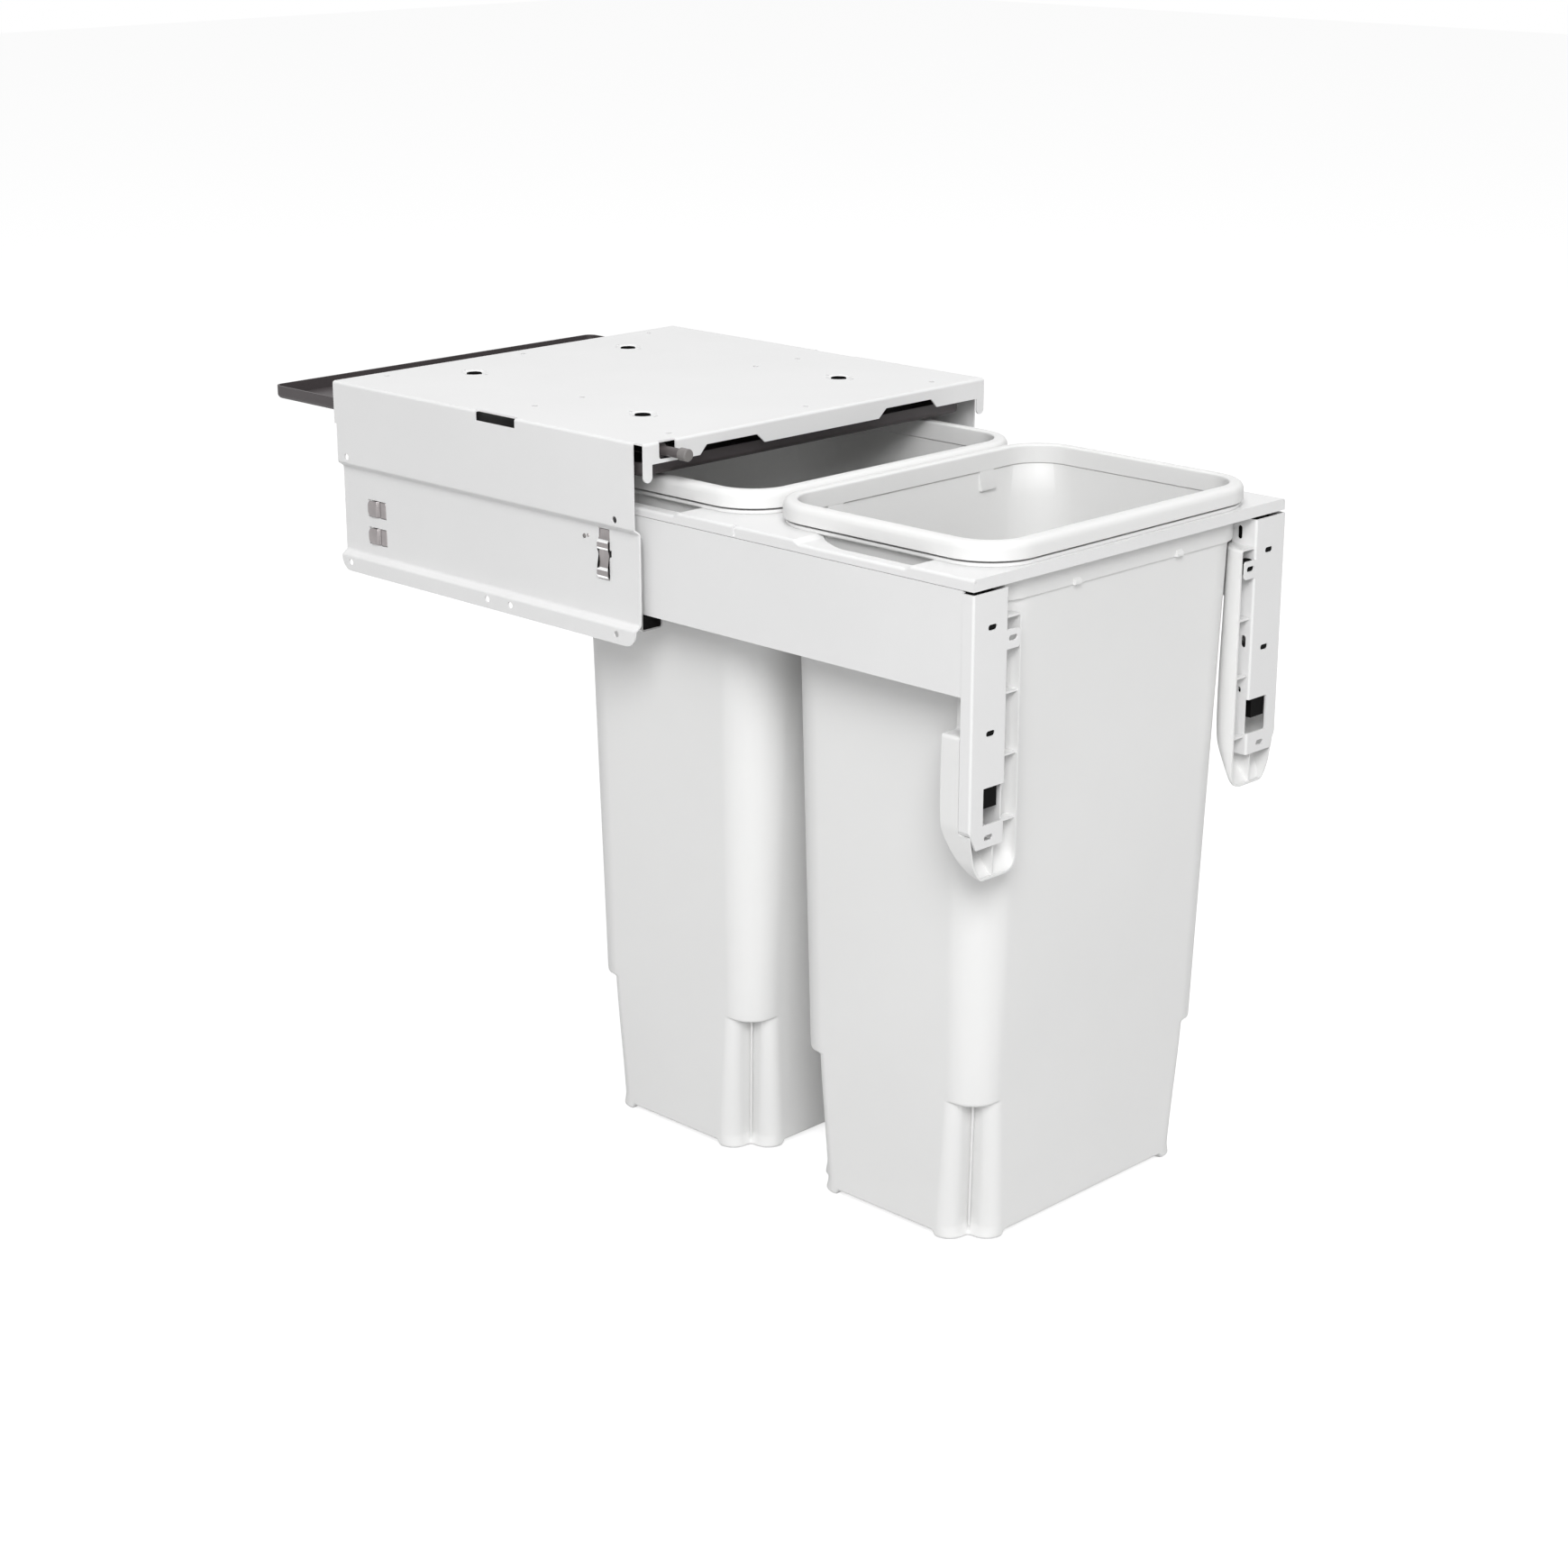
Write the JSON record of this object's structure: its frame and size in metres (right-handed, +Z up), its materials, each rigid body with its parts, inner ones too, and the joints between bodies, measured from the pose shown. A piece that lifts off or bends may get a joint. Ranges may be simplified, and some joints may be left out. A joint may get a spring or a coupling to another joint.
{
  "type": "pull-out waste bin unit",
  "caption": "Pull-out waste bin unit for a kitchen cabinet: steel housing and slides, carrier with tall buckets, liner rings, lid tray, door brackets and door damper.",
  "frame": {"origin": "middle of the housing's front edge, on the top face of its top plate", "axes": "+X to the right seen from the kitchen, +Y towards the rear of the cabinet, +Z up"},
  "size_m": [0.418, 0.8525, 0.628],
  "materials": {
    "white_steel": "satin white powder coat",
    "white_plastic": "fine satin moulded plastic",
    "lid_plastic": "dark grey, fine texture",
    "black_plastic": "satin black",
    "zinc_steel": "bright zinc plated",
    "slide_steel": "galvanised, satin",
    "damper_grey": "grey",
    "damper_dark": "dark grey"
  },
  "bodies": {
    "housing": {"housing_shell": "white_steel", "hanger_bushes": "black_plastic", "damper_tube": "damper_dark", "damper_clamp": "black_plastic", "housing_fasteners": "black_plastic", "slide_bracket_left": "slide_steel", "slide_bracket_right": "slide_steel", "bracket_end_cap_left": "black_plastic", "bracket_end_cap_right": "black_plastic", "slide_outer_left": "slide_steel", "slide_outer_right": "slide_steel", "slide_hooks_left": "zinc_steel", "slide_hooks_right": "zinc_steel", "spring_clip_left": "zinc_steel", "spring_clip_right": "zinc_steel"},
    "lid": {"lid_tray": "lid_plastic", "lid_hangers": "black_plastic"},
    "damper_plunger": {"damper_rod": "damper_dark", "damper_cap": "damper_grey"},
    "outer_cages": {"ball_cage_outer_left": "zinc_steel", "ball_cage_outer_right": "zinc_steel"},
    "slide_middles": {"slide_middle_left": "slide_steel", "slide_middle_right": "slide_steel"},
    "inner_cages": {"ball_cage_inner_left": "zinc_steel", "ball_cage_inner_right": "zinc_steel"},
    "carrier": {"carrier_frame": "white_steel", "rear_crossbar": "white_steel", "bucket_front": "white_plastic", "bucket_rear": "white_plastic", "liner_ring_front": "white_plastic", "liner_ring_rear": "white_plastic", "side_plate_left": "white_steel", "side_plate_right": "white_steel", "slide_inner_left": "slide_steel", "slide_inner_right": "slide_steel", "door_bracket_left": "white_steel", "door_bracket_right": "white_steel", "bracket_arm_left": "white_steel", "bracket_arm_right": "white_steel", "bracket_cover_left": "white_plastic", "bracket_cover_right": "white_plastic", "adjuster_left": "black_plastic", "adjuster_right": "black_plastic"}
  },
  "joints": [
    {"name": "carrier_slide", "type": "slide", "parent": "housing", "child": "carrier", "axis": [0, -1, 0], "range_m": [-0.338, 0.165]},
    {"name": "middle_slide", "type": "slide", "parent": "housing", "child": "slide_middles", "axis": [0, -1, 0], "range_m": [-0.169, 0.0825]},
    {"name": "outer_cage_slide", "type": "slide", "parent": "housing", "child": "outer_cages", "axis": [0, -1, 0], "range_m": [-0.0845, 0.04125]},
    {"name": "inner_cage_slide", "type": "slide", "parent": "housing", "child": "inner_cages", "axis": [0, -1, 0], "range_m": [-0.2536, 0.1238]},
    {"name": "lid_lift", "type": "slide", "parent": "housing", "child": "lid", "axis": [0, 0, 1], "range_m": [0, 0.0024]},
    {"name": "damper_push", "type": "slide", "parent": "housing", "child": "damper_plunger", "axis": [0, 1, 0], "range_m": [0, 0.022], "stiffness_N_per_m": 60, "springref_m": -0.02}
  ],
  "couplings": [
    {"joint": "middle_slide", "follows": "carrier_slide", "ratio": 0.5},
    {"joint": "outer_cage_slide", "follows": "carrier_slide", "ratio": 0.25},
    {"joint": "inner_cage_slide", "follows": "carrier_slide", "ratio": 0.75}
  ]
}
